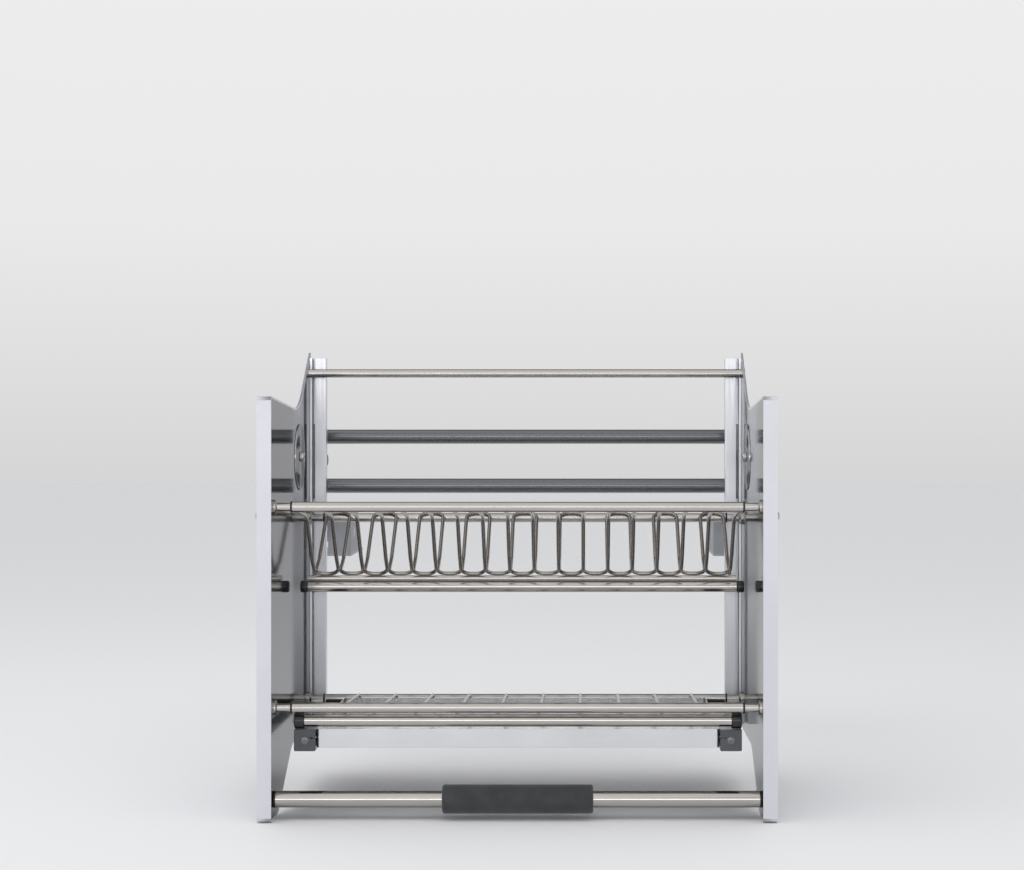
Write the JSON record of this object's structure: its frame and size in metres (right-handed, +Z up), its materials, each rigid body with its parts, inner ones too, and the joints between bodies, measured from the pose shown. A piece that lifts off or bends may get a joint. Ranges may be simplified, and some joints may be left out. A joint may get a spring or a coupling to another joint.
{
  "type": "pull-down dish rack",
  "caption": "Pull-down dish rack for a wall cabinet: mirror-lined side panels, wire plate dividers, bowl shelf, sliding drip tray, padded handle and parallel lift arms.",
  "frame": {"origin": "middle of the overall width and depth with the rack lowered, at the level of the side panels' feet", "axes": "+X to the right seen from the front, +Y towards the cabinet's back, +Z up"},
  "size_m": [0.564, 0.688, 0.461],
  "materials": {
    "panel_silver": "satin",
    "mirror_steel": "polished",
    "polished_steel": "polished",
    "wire_steel": "satin",
    "tray_steel": "brushed",
    "profile_aluminium": "satin",
    "arm_grey": "satin",
    "wall_grey": "satin",
    "pin_steel": "satin",
    "black_plastic": "matte",
    "smoky_plastic": "satin",
    "grey_plastic": "satin",
    "white_plastic": "matte",
    "disc_grey": "satin",
    "foam": "matte",
    "buffer_rubber": "matte",
    "spring_steel": "oiled"
  },
  "bodies": {
    "wall_units": {"wall_plate_l": "wall_grey", "wall_plate_r": "wall_grey", "stop_buffers": "buffer_rubber", "shaft_bushes": "white_plastic", "upper_pivot_studs": "pin_steel", "stud_caps": "pin_steel", "spring_housing_l": "grey_plastic", "spring_housing_r": "grey_plastic", "spring_covers": "grey_plastic", "balance_springs": "spring_steel"},
    "lower_arms": {"lower_arm_l": "arm_grey", "lower_arm_r": "arm_grey", "lower_cross_tube": "arm_grey", "lower_shafts": "pin_steel", "lower_tube_bolts": "pin_steel"},
    "upper_arms": {"upper_arm_l": "arm_grey", "upper_arm_r": "arm_grey", "upper_cross_tube": "arm_grey", "upper_tube_bolts": "pin_steel"},
    "drip_tray": {"drip_tray": "tray_steel"},
    "rack": {"side_shell_l": "panel_silver", "side_shell_r": "panel_silver", "side_liner_l": "mirror_steel", "side_liner_r": "mirror_steel", "upper_rear_rail": "polished_steel", "plate_shelf_front_rail": "polished_steel", "plate_shelf_rear_rail": "polished_steel", "bowl_shelf_front_rail": "polished_steel", "bowl_shelf_rear_rail": "polished_steel", "plate_rack_tube": "polished_steel", "plate_rack_rod": "polished_steel", "bowl_rack_tube": "polished_steel", "handle_tube": "polished_steel", "rail_stubs": "polished_steel", "plate_wires_front": "wire_steel", "plate_wires_rear": "wire_steel", "bowl_rack_wires": "wire_steel", "rear_upright_l": "profile_aluminium", "rear_upright_r": "profile_aluminium", "pivot_bracket_l": "arm_grey", "pivot_bracket_r": "arm_grey", "runner_screws": "arm_grey", "panel_screws": "pin_steel", "disc_screws": "pin_steel", "rail_rings": "black_plastic", "plate_rack_end_caps": "black_plastic", "bowl_rack_end_caps": "black_plastic", "handle_end_rings": "black_plastic", "tray_runner_l": "smoky_plastic", "tray_runner_r": "smoky_plastic", "pivot_bushes": "white_plastic", "disc_covers": "disc_grey", "foam_grip": "foam"}
  },
  "joints": [
    {"name": "lift", "type": "hinge", "parent": "wall_units", "child": "lower_arms", "pos_m": [0, 0.25081, 0.24886], "axis": [-1, 0, 0], "range_deg": [0, 89.5]},
    {"name": "upper_arm_pivot", "type": "hinge", "parent": "wall_units", "child": "upper_arms", "pos_m": [0, 0.28081, 0.30286], "axis": [-1, 0, 0], "range_deg": [0, 89.5]},
    {"name": "rack_pivot", "type": "hinge", "parent": "lower_arms", "child": "rack", "pos_m": [0, -0.05001, 0.315], "axis": [1, 0, 0], "range_deg": [0, 89.5]},
    {"name": "drip_tray_slide", "type": "slide", "parent": "rack", "child": "drip_tray", "axis": [0, -1, 0], "range_m": [0, 0.2]}
  ],
  "couplings": [
    {"joint": "upper_arm_pivot", "follows": "lift", "ratio": 1},
    {"joint": "rack_pivot", "follows": "lift", "ratio": 1}
  ]
}
